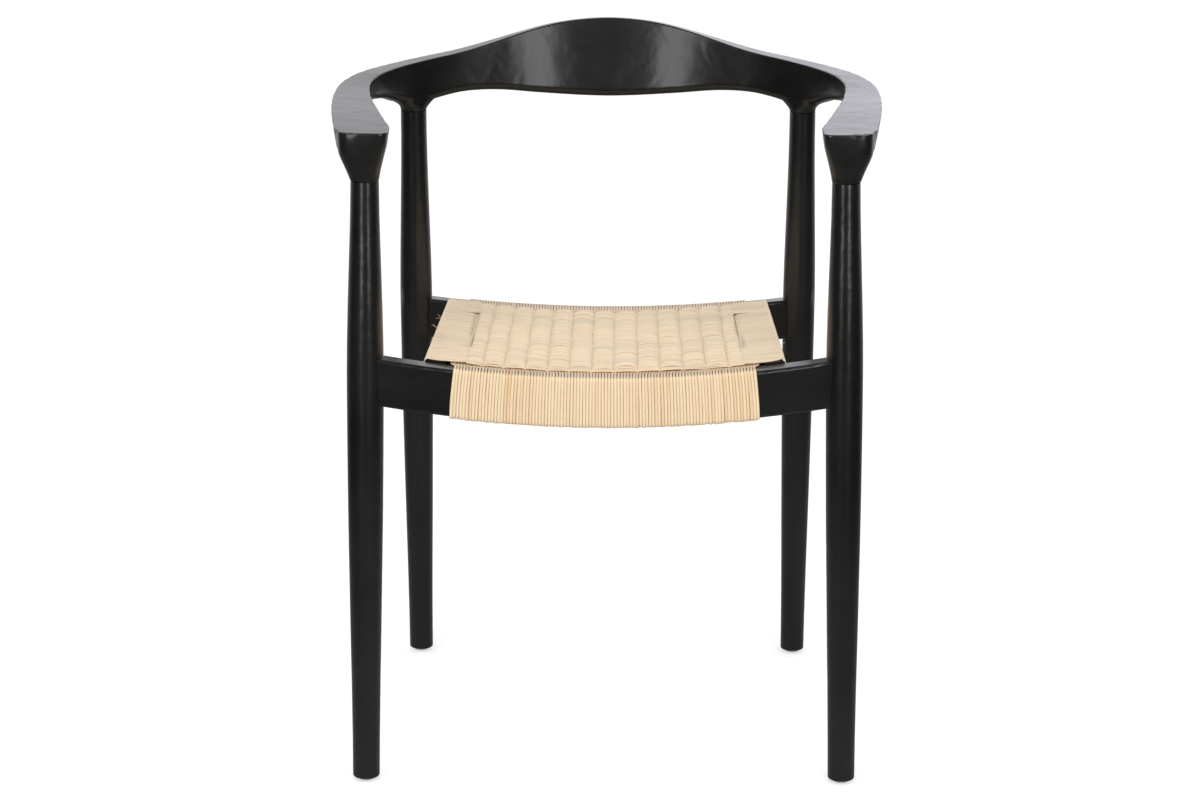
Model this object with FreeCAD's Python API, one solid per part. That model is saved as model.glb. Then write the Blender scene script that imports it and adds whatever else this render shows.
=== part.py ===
import FreeCAD, Part
import math
import os

os.makedirs("parts", exist_ok=True)

# The chair stands on z = 0 with its front towards -y, and x = 0 is its plane of symmetry.
# Overall sizes
overall_width = 597.0
overall_depth = 494.0
overall_height = 760.0
arm_height = 697.0

# The hoop: two arms and the back rest in one sweep
arm_width = 54.0
back_height = 88.0
back_lean = 14.0
bottom_inset = 4.0
bottom_edge_radius = 8.0
back_round_depth = 234.0
back_squareness = 2.4
arm_reach = 237.0
arm_taper = 23.0
arm_taper_power = 1.7
joint_length = 34.0
joint_fingers = 5

# Where the arms flare out over the legs
neck_radius = 14.75
front_flare_height = 53.0
front_neck_setback = 20.0
front_flare_rear_reach = 39.0
rear_flare_height = 20.0
rear_flare_reach = 36.0
rear_flare_drop = 8.5

# Legs
front_foot_radius = 14.4
front_belly_radius = 19.3
rear_foot_radius = 13.9
rear_belly_radius = 18.5
front_leg_splay = 6.0
rear_leg_splay = 1.0
rear_leg_rake = 38.0
foot_edge_radius = 2.2
leg_tenon_radius = 9.5
leg_tenon_length = 26.0
leg_tenon_chamfer = 1.5

# Rails between the legs
seat_front_height = 459.3
seat_rear_height = 439.7
front_rail_height = 50.5
rear_rail_height = 46.0
front_rail_thickness = 26.0
rear_rail_thickness = 23.0
front_rail_sag = 19.3
rear_rail_sag = 12.9
rail_edge_radius = 3.0
rail_tenon_length = 22.0
rail_tenon_thickness = 10.0
rail_tenon_height = 30.0

# Inset side rails
side_rail_width = 22.0
side_rail_splay = 4.0
side_rail_corner_gap = 18.8
side_tenon_length = 14.0
side_tenon_thickness = 9.0
side_tenon_height = 24.0

# Cane seat
cane_thickness = 1.3
cane_gap = 0.15
layer_gap = 0.3
warp_side_gap = 0.6
weave_rise = 3.0

# Glides, their nails and the tacks of the cane
glide_radius = 8.0
glide_height = 3.5
glide_dome = 2.0
nail_head_radius = 3.6
nail_head_thickness = 1.0
nail_shank_radius = 1.2
nail_length = 18.0
tack_head_radius = 2.6
tack_head_thickness = 0.8
tack_shank_radius = 0.8
tack_length = 10.0
tack_inset = 9.0

# Clearances and helpers
fit_gap = 0.15
tenon_end_gap = 0.5
overrun = 20.0
head_room = 8.0
section_points = 28
arm_steps = 24
back_steps = 60
hoop_steps = 28

# Hoop stations from the arm's tip round to the middle of the back. Shares, in order: place along
# the outer edge, top width, rise from arm to crest, height of the wood, lean of the inner face and
# inset of the outer face at the bottom.
hoop_station_shares = (
    (0.0000, 1.02, 0.000, 0.265, -0.286, 1.00),
    (0.0510, 1.05, 0.027, 0.300, -0.286, 1.00),
    (0.1037, 1.01, 0.053, 0.295, -0.286, 1.00),
    (0.1712, 0.94, 0.082, 0.284, -0.286, 1.00),
    (0.2384, 0.86, 0.108, 0.270, -0.286, 1.00),
    (0.3055, 0.77, 0.134, 0.260, -0.286, 1.00),
    (0.3545, 0.720, 0.151, 0.256, -0.286, 1.00),
    (0.3957, 0.665, 0.171, 0.260, -0.250, 1.00),
    (0.4329, 0.615, 0.195, 0.276, -0.140, 1.00),
    (0.4776, 0.570, 0.222, 0.295, 0.000, 1.00),
    (0.5147, 0.540, 0.250, 0.330, 0.100, 1.00),
    (0.5594, 0.510, 0.275, 0.395, 0.250, 0.75),
    (0.5966, 0.490, 0.302, 0.493, 0.400, 0.50),
    (0.6279, 0.480, 0.330, 0.530, 0.500, 0.50),
    (0.6858, 0.470, 0.394, 0.520, 0.600, 0.75),
    (0.7305, 0.460, 0.457, 0.521, 0.650, 1.00),
    (0.7751, 0.430, 0.556, 0.586, 0.700, 1.00),
    (0.8123, 0.370, 0.656, 0.672, 0.780, 0.75),
    (0.8495, 0.305, 0.762, 0.780, 0.860, 0.50),
    (0.8941, 0.235, 0.879, 0.897, 0.930, 0.25),
    (0.9476, 0.190, 0.968, 0.990, 1.000, 0.25),
    (1.0000, 0.176, 1.000, 1.025, 1.000, 0.25),
)
first_wood_share = 0.034
flare_drift_share = 0.5
# Nose by which the arm starts inside its flare: place along the edge, shrinking of the section
nose_shares = ((0.002, 0.24), (0.014, 0.16), (0.025, 0.06))
rear_leg_station_share = 0.6279
finger_joint_station_share = 0.8254

# Flares over the legs. Shares, in order: height, half width outside and inside, front reach, rear
# reach, squareness; for the rear flare height, half width towards the arm and towards the back,
# growth in depth, squareness.
front_flare_shares = (
    (0.00, 0.00, 0.00, 0.00, 0.00, 2.0),
    (0.13, 0.22, 0.09, 0.14, 0.06, 2.0),
    (0.26, 0.46, 0.20, 0.37, 0.16, 2.3),
    (0.40, 0.74, 0.34, 0.58, 0.28, 2.7),
    (0.53, 0.97, 0.48, 0.74, 0.45, 3.2),
    (0.66, 1.08, 0.62, 0.86, 0.67, 3.8),
    (0.81, 1.12, 0.74, 0.95, 0.86, 4.4),
    (1.00, 1.13, 0.83, 1.00, 0.96, 5.0),
    (1.25, 1.14, 0.87, 1.00, 1.00, 5.0),
)
rear_flare_shares = (
    (0.00, 0.00, 0.00, 0.00, 2.0),
    (0.15, 0.02, 0.06, 0.02, 2.0),
    (0.30, 0.11, 0.24, 0.04, 2.0),
    (0.45, 0.28, 0.48, 0.02, 2.0),
    (0.62, 0.55, 0.80, -0.04, 2.0),
    (0.80, 0.85, 1.12, -0.14, 2.0),
    (1.00, 1.00, 1.36, -0.28, 2.0),
)

# Turned profile of the legs: height and swelling, from the foot to the belly and on to the neck
leg_lower_shares = (
    (0.030, 0.00),
    (0.093, 0.08),
    (0.170, 0.22),
    (0.250, 0.41),
    (0.350, 0.62),
    (0.450, 0.82),
    (0.530, 0.92),
    (0.630, 1.00),
)
front_leg_upper_shares = ((0.725, 0.98), (0.800, 0.75), (0.873, 0.43), (0.947, 0.12), (1.000, 0.00))
rear_leg_upper_shares = ((0.690, 0.99), (0.760, 0.77), (0.840, 0.42), (0.914, 0.12), (1.000, 0.00))

# Stations of the lofted cane belts across the half seat, and the grooves where the wefts dip
# between their columns
belt_station_shares = (-1.0, -0.66, -0.33, 0.0, 0.33, 0.66, 1.0)
groove_shares = (-0.901, -0.795, -0.657, -0.519, -0.376, -0.235, -0.089, 0.056, 0.211, 0.356, 0.505,
                 0.654, 0.801, 0.901)
tack_height_share = 0.45

# Sizes worked out from those above
half_width = overall_width / 2
half_depth = overall_depth / 2
widest_y = half_depth - back_round_depth
tip_y = widest_y - arm_reach
front_neck_z = arm_height - front_flare_height
arm_drift = arm_taper * arm_taper_power / arm_reach * flare_drift_share


def vector(x, y, z):
    return FreeCAD.Vector(x, y, z)


def save(name, shape):
    shape.exportStep("parts/" + name + ".step")
    print(name, len(shape.Solids), "solid", shape.isValid(), round(shape.Volume))


def mirrored(shape):
    return shape.mirror(vector(0, 0, 0), vector(1, 0, 0))


def arm_edge(share):
    """Outer edge of the arm in plan, at a share of the reach from its tip."""
    return vector(half_width - arm_taper * abs(1 - share) ** arm_taper_power, tip_y + share * arm_reach, 0)


def back_edge(share):
    """Outer edge round the back in plan, at a share of the quarter turn."""
    turn = share * math.pi / 2
    across = math.cos(turn) if share < 1 else 0
    power = 2 / back_squareness
    y = widest_y + back_round_depth * math.sin(turn) ** power
    return vector(half_width * across ** power, y, 0)


def smooth_curve(points, places):
    """A curve through the points that reaches each one at its place."""
    curve = Part.BSplineCurve()
    curve.interpolate(Points=points, Parameters=places)
    return curve


def outer_edge():
    """The hoop's whole right-hand outer edge, placed by shares of its length."""
    points = [arm_edge(index / arm_steps) for index in range(arm_steps)]
    points += [back_edge(index / back_steps) for index in range(back_steps + 1)]
    lengths = [0]
    for before, after in zip(points, points[1:]):
        lengths.append(lengths[-1] + (after - before).Length)
    return smooth_curve(points, [length / lengths[-1] for length in lengths])


hoop_edge = outer_edge()
station_places = [row[0] for row in hoop_station_shares]
width_and_rise = smooth_curve([vector(row[0], *row[1:3]) for row in hoop_station_shares], station_places)
drop_and_lean = smooth_curve([vector(row[0], *row[3:5]) for row in hoop_station_shares], station_places)
inset_sizes = smooth_curve([vector(row[0], row[5], 0) for row in hoop_station_shares], station_places)


def station(place):
    """All sizes of the hoop's section at one place along its outer edge."""
    sizes = width_and_rise.value(place)
    depth = drop_and_lean.value(place)
    inset = inset_sizes.value(place).y
    normal = hoop_edge.tangent(place)[0].cross(vector(0, 0, 1))
    if place == 1:
        normal = vector(0, 1, 0)
    top = arm_height + sizes.z * (overall_height - arm_height)
    return {
        "place": place,
        "point": hoop_edge.value(place),
        "normal": normal,
        "width": sizes.y * arm_width,
        "top": top,
        "bottom": top - depth.y * back_height,
        "lean": depth.z * back_lean,
        "inset": inset * bottom_inset,
    }


def mirrored_station(spot):
    twin = dict(spot)
    twin["place"] = 2 - spot["place"]
    twin["point"] = vector(-spot["point"].x, spot["point"].y, 0)
    twin["normal"] = vector(-spot["normal"].x, spot["normal"].y, 0)
    return twin


def at(spot, outward, height):
    """A point of a station's upright plane: its distance out from the outer edge, and its height."""
    return spot["point"] + spot["normal"] * outward + vector(0, 0, height)


def rounded_wire(corners, radii):
    """A closed wire through the corners, each turned by an arc of its radius, or sharp at zero."""
    starts = []
    ends = []
    middles = []
    count = len(corners)
    for index, (corner, radius) in enumerate(zip(corners, radii)):
        before = (corners[index - 1] - corner).normalize()
        after = (corners[(index + 1) % count] - corner).normalize()
        half_angle = before.getAngle(after) / 2
        reach = radius / math.tan(half_angle)
        bisector = (before + after).normalize()
        starts.append(corner + before * reach)
        ends.append(corner + after * reach)
        middles.append(corner + bisector * (radius / math.sin(half_angle) - radius))
    edges = []
    for index in range(count):
        if radii[index] > 0:
            edges.append(Part.Arc(starts[index], middles[index], ends[index]).toShape())
        edges.append(Part.LineSegment(ends[index], starts[(index + 1) % count]).toShape())
    return Part.Wire(edges)


def wood_corners(spot, shrink):
    """Corners of the hoop's wood, carried on past its top so that the top can be cut clean."""
    inner_top = at(spot, -spot["width"], spot["top"])
    outer_top = at(spot, 0, spot["top"])
    inner_low = at(spot, -spot["width"] - spot["lean"], spot["bottom"])
    outer_low = at(spot, -spot["inset"], spot["bottom"])
    grow = head_room / (spot["top"] - spot["bottom"])
    corners = (
        inner_low,
        outer_low,
        outer_top + (outer_top - outer_low) * grow,
        inner_top + (inner_top - inner_low) * grow,
    )
    middle = (corners[0] + corners[1] + corners[2] + corners[3]) / len(corners)
    return tuple(corner + (middle - corner) * shrink for corner in corners)


def above_corners(spot):
    """Corners of the space above the hoop's top face."""
    return (
        at(spot, -spot["width"] - head_room, spot["top"]),
        at(spot, head_room, spot["top"]),
        at(spot, head_room, spot["top"] + head_room + overrun),
        at(spot, -spot["width"] - head_room, spot["top"] + head_room + overrun),
    )


def skinned(sections, places):
    """A solid with one smooth face along each side of its sections, each reached at its place."""
    lines = [smooth_curve(list(points), places).toShape() for points in zip(*sections)]
    faces = [Part.makeRuledSurface(line, after) for line, after in zip(lines, lines[1:] + lines[:1])]
    for corners in (sections[0], sections[-1]):
        faces.append(Part.Face(Part.makePolygon(corners + (corners[0],))))
    shell = Part.makeShell(faces)
    shell.sewShape()
    return Part.makeSolid(shell)


def flare(neck, axis, side, drift, rows):
    """A flare grown from a leg's neck ring through rounded sections that drift along the arm."""
    axis = axis.normalize()
    across = (side - axis * side.dot(axis)).normalize()
    along = axis.cross(across) + across * drift
    sections = []
    for height, outside, inside, front, rear, squareness in rows:
        points = []
        half = (outside + inside) / 2
        centre = neck + axis * height + along * ((rear - front) / 2) + across * ((outside - inside) / 2)
        deep = (rear + front) / 2
        for index in range(section_points):
            turn = 2 * math.pi * index / section_points
            power = 2 / squareness
            out = math.copysign(abs(math.cos(turn)) ** power, math.cos(turn))
            back = math.copysign(abs(math.sin(turn)) ** power, math.sin(turn))
            points.append(centre + across * (half * out) + along * (deep * back))
        curve = Part.BSplineCurve()
        curve.interpolate(Points=points, PeriodicFlag=True)
        sections.append(Part.Wire([curve.toShape()]))
    return Part.makeLoft(sections, True)


def lathe(base, curve_points, end_points):
    """A solid turned about z: from its base on the axis up a smooth curve, then straight to the end."""
    curve = Part.BSplineCurve()
    curve.interpolate(curve_points)
    edges = [Part.LineSegment(base, curve_points[0]).toShape(), curve.toShape()]
    last = curve_points[-1]
    for point in end_points + [base]:
        edges.append(Part.LineSegment(last, point).toShape())
        last = point
    face = Part.Face(Part.Wire(edges))
    return face.revolve(vector(0, 0, 0), vector(0, 0, 1), 360)


def stood_on(shape, foot, neck):
    """Moves a shape turned about z so that its axis runs from the foot to the neck."""
    turned = shape.copy()
    turned.Placement = FreeCAD.Placement(foot, FreeCAD.Rotation(vector(0, 0, 1), neck - foot))
    return turned


# Leg places: the right-hand legs, the left-hand ones being their mirror images
rear_station = station(rear_leg_station_share)
rear_middle = (rear_station["inset"] + rear_station["width"] + rear_station["lean"]) / 2
rear_neck = at(rear_station, -rear_middle, rear_station["bottom"] - rear_flare_drop)
rear_foot = vector(rear_neck.x + rear_leg_splay, rear_neck.y + rear_leg_rake, 0)
front_neck = vector(half_width - arm_taper - arm_width / 2, tip_y + front_neck_setback, front_neck_z)
front_foot = vector(front_neck.x + front_leg_splay, front_foot_radius - half_depth, 0)


def leg_point(foot, neck, height):
    return foot + (neck - foot) * (height / neck.z)


def leg_solid(foot, neck, foot_radius, belly_radius, upper_shares, spare):
    """A turned leg on its own axis, or with some spare all round it as a space to cut."""
    length = (neck - foot).Length
    profile = [vector(foot_radius + spare, 0, -overrun)]
    for end_radius, shares in ((foot_radius, leg_lower_shares), (neck_radius, upper_shares)):
        for height, swell in shares:
            radius = end_radius + swell * (belly_radius - end_radius) + spare
            profile.append(vector(radius, 0, height * length))
    top = length + leg_tenon_length
    upper = [
        vector(leg_tenon_radius + spare, 0, length),
        vector(leg_tenon_radius + spare, 0, top - leg_tenon_chamfer),
        vector(leg_tenon_radius + spare - leg_tenon_chamfer, 0, top),
        vector(0, 0, top),
    ]
    return stood_on(lathe(vector(0, 0, -overrun), profile, upper), foot, neck)


def under_foot():
    """The space below the legs' feet."""
    side = overall_width + overall_depth
    return Part.makeBox(side, side, overrun * 2, vector(-side / 2, -side / 2, glide_height - overrun * 2))


def nail_hole(foot, spare):
    """The nail of one glide, with some spare all round it as a space to cut."""
    base = vector(foot.x, foot.y, glide_height / 2)
    shank = Part.makeCylinder(nail_shank_radius + spare, nail_length + spare, base)
    head_base = base - vector(0, 0, spare)
    head = Part.makeCylinder(nail_head_radius + spare, nail_head_thickness + spare * 2, head_base)
    return shank.fuse(head)


def glide(foot):
    """A plastic glide: a low dome with a flat underside and the nail's head moulded in."""
    disc = Part.makeCylinder(glide_radius, glide_height, vector(foot.x, foot.y, 0))
    lower = [edge for edge in disc.Edges if abs(edge.CenterOfMass.z) < fit_gap and edge.Closed]
    disc = disc.makeFillet(glide_dome, lower)
    return disc.cut(nail_hole(foot, fit_gap))


# Rails
def dish(x, half_span, sag):
    """Height of a rail's dished edge over its lowest point, on a circle through both ends."""
    bend = (half_span ** 2 + sag ** 2) / (2 * sag)
    return bend - math.sqrt(bend ** 2 - x ** 2)


front_rail_centre = leg_point(front_foot, front_neck, seat_front_height - front_rail_height / 2)
rear_rail_centre = leg_point(rear_foot, rear_neck, seat_rear_height - rear_rail_height / 2)
front_half_span = front_rail_centre.x - front_belly_radius
rear_half_span = rear_rail_centre.x - rear_belly_radius
front_rail_y = front_rail_centre.y
rear_rail_y = rear_rail_centre.y
front_rail_back = front_rail_y + front_rail_thickness / 2
front_rail_face = front_rail_y - front_rail_thickness / 2
rear_rail_face = rear_rail_y - rear_rail_thickness / 2
rear_rail_back = rear_rail_y + rear_rail_thickness / 2
seat_half_width = rear_half_span - side_rail_corner_gap


def front_top(x):
    return seat_front_height - front_rail_sag + dish(x, front_half_span, front_rail_sag)


def rear_top(x):
    return seat_rear_height - rear_rail_sag + dish(x, rear_half_span, rear_rail_sag)


def seat_top(x, y):
    """Top line of the warps' bed, from the front rail's rear edge to the rear rail's back edge."""
    share = (y - front_rail_back) / (rear_rail_back - front_rail_back)
    return front_top(x) + share * (rear_top(x) - front_top(x))


def seat_bottom(x, y):
    """Bottom line of the warps' bed, from the front rail's face to the rear rail's face."""
    low_front = front_top(x) - front_rail_height
    low_rear = rear_top(x) - rear_rail_height
    share = (y - front_rail_face) / (rear_rail_face - front_rail_face)
    return low_front + share * (low_rear - low_front)


def rail(top_line, height, thickness, centre, leg_space):
    """A dished rail: arcs above and below, long edges eased, ends coped to the legs."""
    reach = centre.x
    low = centre.y - thickness / 2

    def edge_point(x, drop):
        return vector(x, low, top_line(x) - drop)

    edges = [
        Part.Arc(edge_point(-reach, 0), edge_point(0, 0), edge_point(reach, 0)).toShape(),
        Part.LineSegment(edge_point(reach, 0), edge_point(reach, height)).toShape(),
        Part.Arc(edge_point(reach, height), edge_point(0, height), edge_point(-reach, height)).toShape(),
        Part.LineSegment(edge_point(-reach, height), edge_point(-reach, 0)).toShape(),
    ]
    body = Part.Face(Part.Wire(edges)).extrude(vector(0, thickness, 0))
    long_edges = [edge for edge in body.Edges if edge.Length > reach]
    body = body.makeFillet(rail_edge_radius, long_edges)
    body = body.cut(leg_space).cut(mirrored(leg_space))
    tenon = rail_tenon(centre, 0)
    return body.fuse([tenon, mirrored(tenon)])


def rail_tenon(centre, spare):
    """The right-hand tenon of a leg rail, with some spare all round it as a space to cut."""
    inside = centre.x + rail_tenon_length / 2 - front_belly_radius
    start = inside - rail_tenon_length
    end = inside + rail_tenon_length / 2 + spare
    return Part.makeBox(
        end - start,
        rail_tenon_thickness + 2 * spare,
        rail_tenon_height + 2 * spare,
        vector(start, centre.y - rail_tenon_thickness / 2 - spare, centre.z - rail_tenon_height / 2 - spare),
    )


def splayed(y):
    """How far the side rails have spread at one place on the way from the rear to the front rail."""
    return side_rail_splay * (rear_rail_face - y) / (rear_rail_face - front_rail_back)


def side_section(y):
    inner = side_rail_inner + splayed(y)
    outer = side_rail_outer + splayed(y)
    lift = side_rail_lift
    corners = (
        vector(inner, y, seat_top(inner, y) + lift),
        vector(inner, y, seat_bottom(inner, y) - lift),
        vector(outer, y, seat_bottom(outer, y) - lift),
        vector(outer, y, seat_top(outer, y) + lift),
    )
    return rounded_wire(corners, (rail_edge_radius,) * len(corners))


side_rail_outer = seat_half_width - cane_thickness - cane_gap
side_rail_inner = side_rail_outer - side_rail_width
side_rail_lift = cane_thickness + layer_gap
warp_half_width = side_rail_inner - warp_side_gap


def side_tenon(face_y, direction, spare):
    """A tenon of the right-hand side rail, in the rail whose face is at face_y."""
    middle = (side_rail_inner + side_rail_outer) / 2 + splayed(face_y)
    centre_z = (seat_top(middle, face_y) + seat_bottom(middle, face_y)) / 2
    length = side_tenon_length + spare
    start = min(face_y - direction * side_tenon_length, face_y + direction * length)
    return Part.makeBox(
        side_tenon_thickness + 2 * spare,
        side_tenon_length + length,
        side_tenon_height + 2 * spare,
        vector(middle - side_tenon_thickness / 2 - spare, start, centre_z - side_tenon_height / 2 - spare),
    )


def side_rail():
    body = Part.makeLoft([side_section(front_rail_back), side_section(rear_rail_face)], True, True)
    return body.fuse([side_tenon(front_rail_back, -1, 0), side_tenon(rear_rail_face, 1, 0)])


# Cane belts
def warp_section(x, off):
    """Loop of the warps at one place across the seat, off millimetres clear of the rails."""
    front_z = front_top(x)
    rear_z = rear_top(x)
    corners = (
        vector(x, front_rail_face - off, front_z + off),
        vector(x, front_rail_face - off, front_z - front_rail_height - off),
        vector(x, rear_rail_face, rear_z - rear_rail_height - off),
        vector(x, rear_rail_back + off, rear_z - rear_rail_height - off),
        vector(x, rear_rail_back + off, rear_z + off),
        vector(x, front_rail_back, front_z + off),
    )
    turn = rail_edge_radius + off
    return rounded_wire(corners, (turn, turn, 0, turn, turn, 0))


def warp_belt():
    places = [share * warp_half_width for share in belt_station_shares]
    outer = Part.makeLoft([warp_section(x, cane_gap + cane_thickness) for x in places], True)
    inner = Part.makeLoft([warp_section(x, cane_gap) for x in places], True)
    return outer.cut(inner)


def weft_section(y, off, rise):
    """Loop of the wefts at one place from front to back, its top arched between two grooves."""
    out = side_rail_outer + splayed(y) + off
    turn = rail_edge_radius + off
    lift = side_rail_lift + off
    diagonal = turn * (1 - math.sqrt(0.5))

    def top(x):
        return vector(x, y, seat_top(x, y) + lift)

    def low(x):
        return vector(x, y, seat_bottom(x, y) - lift)

    down = vector(0, 0, -turn)
    grooves = [share * warp_half_width for share in groove_shares]
    knots = [turn - out] + grooves + [out - turn]
    edges = []
    for left, right in zip(knots, knots[1:]):
        arch = rise if left in grooves and right in grooves else 0
        crest = top((left + right) / 2) + vector(0, 0, arch)
        edges.append(Part.Arc(top(left), crest, top(right)).toShape())
    corner_mid = top(out - diagonal) + vector(0, 0, -diagonal)
    edges.append(Part.Arc(top(out - turn), corner_mid, top(out) + down).toShape())
    edges.append(Part.LineSegment(top(out) + down, low(out) - down).toShape())
    corner_mid = low(out - diagonal) + vector(0, 0, diagonal)
    edges.append(Part.Arc(low(out) - down, corner_mid, low(out - turn)).toShape())
    edges.append(Part.Arc(low(out - turn), low(0), low(turn - out)).toShape())
    corner_mid = low(diagonal - out) + vector(0, 0, diagonal)
    edges.append(Part.Arc(low(turn - out), corner_mid, low(-out) - down).toShape())
    edges.append(Part.LineSegment(low(-out) - down, top(-out) + down).toShape())
    corner_mid = top(diagonal - out) + vector(0, 0, -diagonal)
    edges.append(Part.Arc(top(-out) + down, corner_mid, top(turn - out)).toShape())
    return Part.Wire(edges)


def weft_belt():
    places = (front_rail_back + layer_gap, rear_rail_face - layer_gap)
    over = cane_gap + cane_thickness
    outer = Part.makeLoft([weft_section(y, over, weave_rise) for y in places], True, True)
    inner = Part.makeLoft([weft_section(y, cane_gap, 0) for y in places], True, True)
    return outer.cut(inner)


def tack(point, direction, spare):
    """One tack driven along a direction, its head flat on the wood."""
    shank = Part.makeCylinder(tack_shank_radius + spare, tack_length + spare, point, direction)
    if spare > 0:
        return shank
    head = Part.makeCylinder(tack_head_radius, tack_head_thickness, point, direction * -1)
    return shank.fuse(head)


def tacks(spare):
    """The tacks in each rail's hidden face, grouped by the rail that holds them."""
    x = warp_half_width - tack_inset
    found = {"front": [], "rear": [], "side": []}
    front_z = front_top(x) - front_rail_height * tack_height_share
    rear_z = rear_top(x) - rear_rail_height * tack_height_share
    for side in (-1, 1):
        found["front"].append(tack(vector(side * x, front_rail_back, front_z), vector(0, -1, 0), spare))
        found["rear"].append(tack(vector(side * x, rear_rail_face, rear_z), vector(0, 1, 0), spare))
    for y in (front_rail_back + tack_inset * 2, rear_rail_face - tack_inset * 2):
        middle = (seat_top(x, y) + seat_bottom(x, y)) / 2
        found["side"].append(tack(vector(side_rail_inner + splayed(y), y, middle), vector(1, 0, 0), spare))
    return found


def grown(share, reach):
    """A reach grown from the neck's radius by a share of the way."""
    return neck_radius + share * (reach - neck_radius)


def hoop():
    """Both arms and the back rest as one carved body, before the finger joints part it."""
    run = 1 - first_wood_share
    right = [station(first_wood_share + run * index / hoop_steps) for index in range(hoop_steps + 1)]
    tip = station(0)
    tip["place"] = -first_wood_share
    tip["point"] = tip["point"] * 2 - right[0]["point"]
    tip["top"] = tip["top"] * 2 - right[0]["top"]
    left = [mirrored_station(spot) for spot in reversed(right[:-1])]
    nose = [(station(place), shrink) for place, shrink in nose_shares]
    far_nose = [(mirrored_station(spot), shrink) for spot, shrink in reversed(nose)]
    whole = nose + [(spot, 0) for spot in right + left] + far_nose
    places = [spot["place"] for spot, shrink in whole]
    body = skinned([wood_corners(spot, shrink) for spot, shrink in whole], places)
    long_edges = [edge for edge in body.Edges if edge.Length > overall_width]
    low_edges = sorted(long_edges, key=lambda edge: edge.CenterOfMass.z)[:2]
    body = body.makeFillet(bottom_edge_radius, low_edges)
    spots = [tip] + right + left + [mirrored_station(tip)]
    above = skinned([above_corners(spot) for spot in spots], [spot["place"] for spot in spots])
    front_rise = front_neck - front_foot
    front_reach = front_neck_setback + front_flare_height * front_rise.y / front_rise.z
    front_rows = []
    for height, outside, inside, front, rear, squareness in front_flare_shares:
        front_rows.append((
            height * front_flare_height,
            grown(outside, arm_width / 2),
            grown(inside, arm_width / 2),
            grown(front, front_reach),
            grown(rear, front_flare_rear_reach),
            squareness,
        ))
    front_flare = flare(front_neck, front_rise, vector(1, 0, 0), arm_drift, front_rows)
    rear_rows = []
    for height, forward, backward, growth, squareness in rear_flare_shares:
        deep = neck_radius * (1 + growth)
        rear_rows.append((
            height * rear_flare_height,
            grown(forward, rear_flare_reach),
            grown(backward, rear_flare_reach),
            deep,
            deep,
            squareness,
        ))
    tangent = vector(rear_station["normal"].y, -rear_station["normal"].x, 0)
    rear_flare = flare(rear_neck, rear_neck - rear_foot, tangent, 0, rear_rows)
    body = body.fuse([front_flare, rear_flare, mirrored(front_flare), mirrored(rear_flare)])
    return body.cut(above)


def arm_space():
    """The space of the right-hand arm: everything past a zigzag through the finger joint."""
    spot = station(finger_joint_station_share)
    normal = spot["normal"]
    tangent = vector(normal.y, -normal.x, 0)
    start = spot["point"] + normal * overrun
    pitch = (spot["top"] - spot["bottom"]) / joint_fingers
    reach = joint_length / 2
    outline = [start - tangent * reach]
    for index in range(joint_fingers + 1):
        side = -1 if index % 2 == 0 else 1
        outline.append(start + tangent * (side * reach) + vector(0, 0, spot["bottom"] + index * pitch))
    outline.append(outline[-1] + vector(0, 0, overrun))
    outline.append(start + tangent * overall_width + vector(0, 0, overall_height + overrun))
    outline.append(start + tangent * overall_width)
    face = Part.Face(Part.makePolygon(outline + [outline[0]]))
    return face.extrude(normal * -(overall_depth + overrun * 2))


def leg_tenon_bore(foot, neck):
    """The space of a leg's round tenon in the arm."""
    axis = (neck - foot).normalize()
    return Part.makeCylinder(leg_tenon_radius + fit_gap, leg_tenon_length + tenon_end_gap + overrun,
                             neck - axis * overrun, axis)


# The hoop's three pieces
whole_hoop = hoop()
right_space = arm_space()
bores = [leg_tenon_bore(front_foot, front_neck), leg_tenon_bore(rear_foot, rear_neck)]
arm_right = whole_hoop.common(right_space).cut(bores)
save("arm_right", arm_right)
save("arm_left", mirrored(arm_right))
save("back_rest", whole_hoop.cut([right_space, mirrored(right_space)]))

# Legs, glides and nails
leg_names = (
    ("front_leg", "glide_front", front_foot, front_neck, front_foot_radius, front_belly_radius,
     front_leg_upper_shares, front_rail_centre),
    ("rear_leg", "glide_rear", rear_foot, rear_neck, rear_foot_radius, rear_belly_radius,
     rear_leg_upper_shares, rear_rail_centre),
)
leg_spaces = []
nails = []
for leg_name, glide_name, foot, neck, foot_radius, belly_radius, upper_shares, rail_centre in leg_names:
    leg = leg_solid(foot, neck, foot_radius, belly_radius, upper_shares, 0).cut(under_foot())
    sole = [edge for edge in leg.Edges if abs(edge.BoundBox.ZMax - glide_height) < fit_gap]
    leg = leg.makeFillet(foot_edge_radius, sole)
    leg = leg.cut([rail_tenon(rail_centre, fit_gap), nail_hole(foot, fit_gap)])
    leg_spaces.append(leg_solid(foot, neck, foot_radius, belly_radius, upper_shares, fit_gap))
    nail = nail_hole(foot, 0)
    base = glide(foot)
    nails += [nail, mirrored(nail)]
    save(leg_name + "_right", leg)
    save(leg_name + "_left", mirrored(leg))
    save(glide_name + "_right", base)
    save(glide_name + "_left", mirrored(base))
save("glide_nails", Part.makeCompound(nails))

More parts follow.
